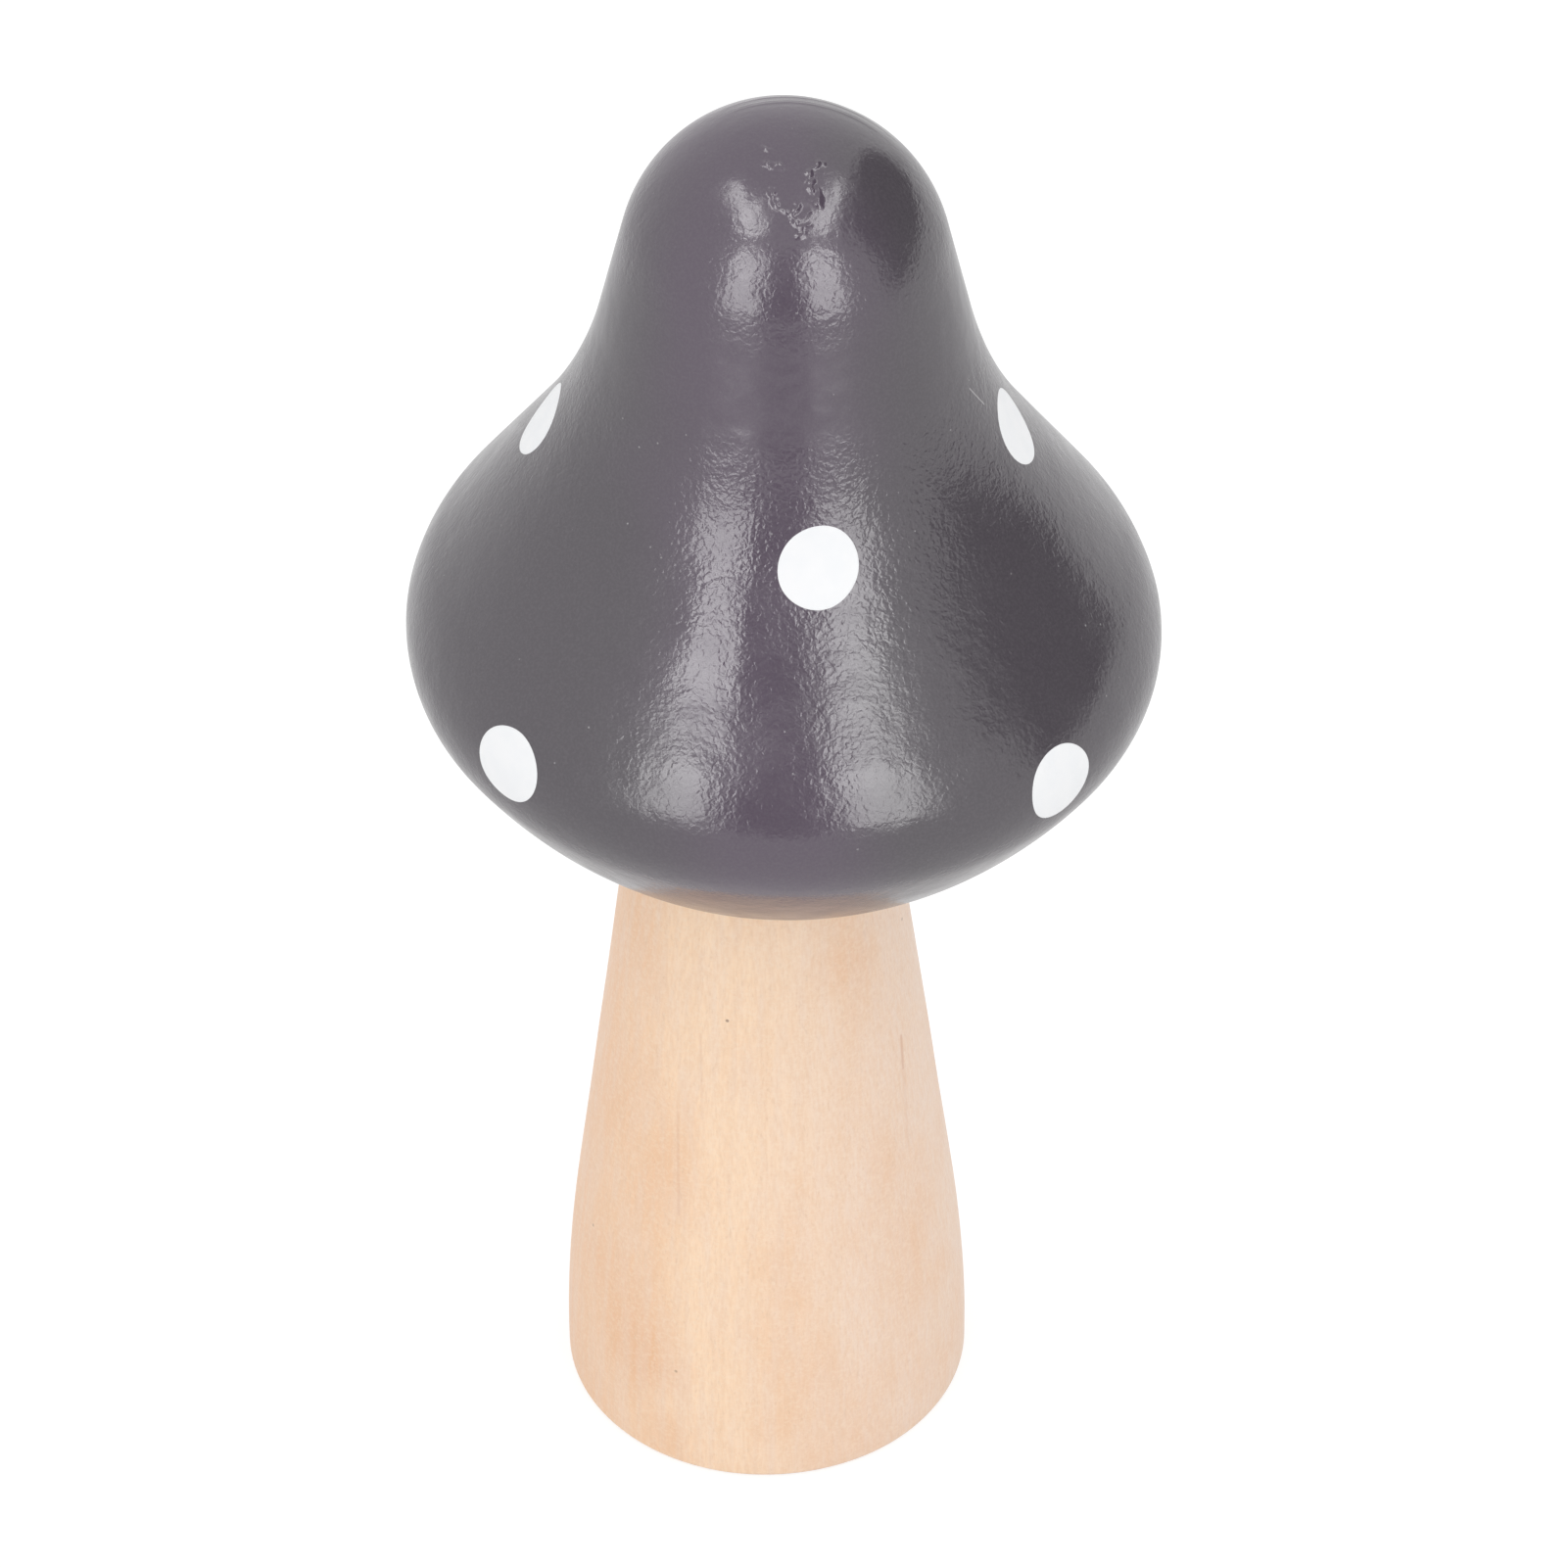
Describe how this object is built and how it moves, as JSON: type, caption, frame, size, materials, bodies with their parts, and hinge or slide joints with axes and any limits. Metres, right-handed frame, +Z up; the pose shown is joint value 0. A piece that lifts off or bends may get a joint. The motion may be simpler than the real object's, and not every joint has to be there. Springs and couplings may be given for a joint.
{
  "type": "wooden mushroom ornament",
  "caption": "Standing wooden mushroom ornament: a tapered bare-wood stem on a flat foot carries a bell-shaped painted cap with round white spots.",
  "frame": {"origin": "centre of the stem's flat foot, on the surface that the ornament stands on", "axes": "+Z straight up along the stem, -Y towards the viewer in front, +X to the right"},
  "size_m": [0.06, 0.06, 0.1269],
  "materials": {
    "bare_wood": "smooth sanded pale wood under a thin clear satin seal",
    "cap_paint": "wood under a dark grey, slightly violet semi-gloss paint with a fine brushed texture",
    "dowel_wood": "raw hardwood",
    "spot_paint": "thin white satin paint film"
  },
  "bodies": {
    "root": {"stem": "bare_wood", "cap": "cap_paint", "dowel": "dowel_wood", "spot_upper_front": "spot_paint", "spot_upper_right": "spot_paint", "spot_upper_back": "spot_paint", "spot_upper_left": "spot_paint", "spot_lower_right": "spot_paint", "spot_lower_left": "spot_paint", "spot_lower_back_right": "spot_paint", "spot_lower_back_left": "spot_paint"}
  },
  "joints": []
}
